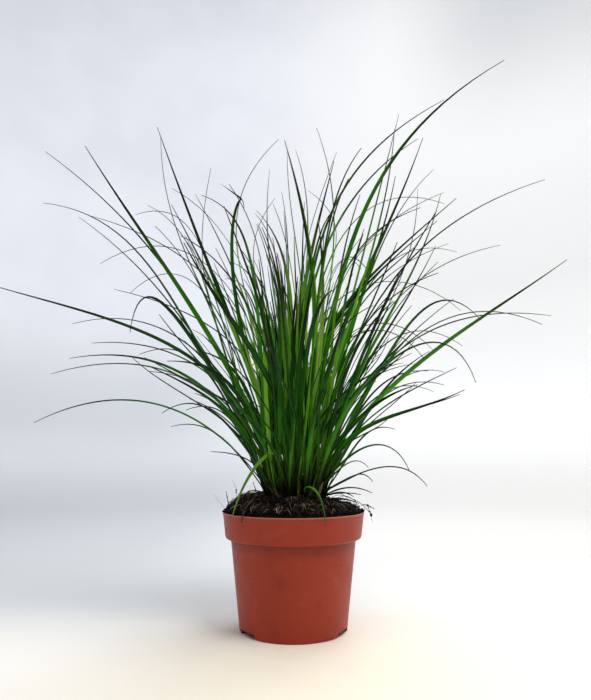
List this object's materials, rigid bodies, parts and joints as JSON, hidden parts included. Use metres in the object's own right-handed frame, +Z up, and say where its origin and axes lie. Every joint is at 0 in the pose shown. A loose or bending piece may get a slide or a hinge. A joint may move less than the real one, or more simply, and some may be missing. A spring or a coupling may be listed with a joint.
{
  "type": "potted ornamental grass clump",
  "caption": "Tufted ornamental grass with long, thin, arching green leaves, growing from heaped dark peat in a tapered terracotta-coloured plastic nursery pot.",
  "frame": {"origin": "on the pot's axis, at the height of its feet; the clump spreads evenly about it, so it is also the bottom centre of the bounding box", "axes": "+Z up along the pot's axis, -Y towards the front of the plant as pictured, +X to the right"},
  "size_m": [0.554, 0.408, 0.565],
  "materials": {
    "pot_plastic": "satin",
    "peat": "matte",
    "leaf": "satin"
  },
  "bodies": {
    "root": {"pot": "pot_plastic", "soil": "peat", "tiller_01": "leaf", "tiller_02": "leaf", "tiller_03": "leaf", "tiller_04": "leaf", "tiller_05": "leaf", "tiller_06": "leaf", "tiller_07": "leaf", "tiller_08": "leaf", "tiller_09": "leaf", "tiller_10": "leaf", "tiller_11": "leaf", "tiller_12": "leaf", "tiller_13": "leaf", "tiller_14": "leaf", "tiller_15": "leaf", "tiller_16": "leaf", "tiller_17": "leaf", "tiller_18": "leaf", "tiller_19": "leaf", "tiller_20": "leaf", "tiller_21": "leaf", "tiller_22": "leaf", "tiller_23": "leaf", "tiller_24": "leaf", "tiller_25": "leaf", "tiller_26": "leaf", "tiller_27": "leaf", "tiller_28": "leaf", "tiller_29": "leaf", "tiller_30": "leaf", "tiller_31": "leaf", "tiller_32": "leaf", "tiller_33": "leaf", "tiller_34": "leaf", "tiller_35": "leaf", "tiller_36": "leaf", "tiller_37": "leaf", "tiller_38": "leaf", "tiller_39": "leaf", "tiller_40": "leaf", "tiller_41": "leaf", "tiller_42": "leaf", "tiller_43": "leaf", "tiller_44": "leaf", "tiller_45": "leaf", "tiller_46": "leaf", "tiller_47": "leaf", "tiller_48": "leaf", "tiller_49": "leaf", "tiller_50": "leaf", "tiller_51": "leaf", "tiller_52": "leaf", "tiller_53": "leaf", "tiller_54": "leaf"}
  },
  "joints": []
}
